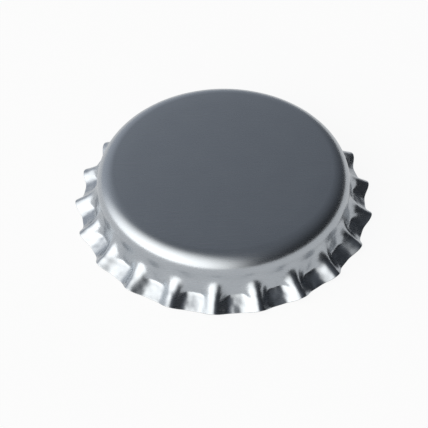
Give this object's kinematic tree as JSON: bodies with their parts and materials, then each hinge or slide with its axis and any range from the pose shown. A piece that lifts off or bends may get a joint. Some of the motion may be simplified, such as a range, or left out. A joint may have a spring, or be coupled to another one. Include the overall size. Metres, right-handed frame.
{
  "type": "bottle cap",
  "caption": "Round pressed-metal bottle cap with a flat panel, rounded shoulder, straight neck and fluted, flared skirt, not yet crimped, with a sealing liner inside.",
  "frame": {"origin": "on the cap's axis, at the plane of the lowest edge of the skirt that the cap lies on", "axes": "+Z along the axis, from the open skirt up to the panel; +X through the middle of one flute's valley"},
  "size_m": [0.032, 0.0322, 0.0061],
  "materials": {
    "sheet_metal": "satin",
    "liner_plastic": "satin"
  },
  "bodies": {
    "root": {"pressed_cap": "sheet_metal", "sealing_liner": "liner_plastic"}
  },
  "joints": []
}
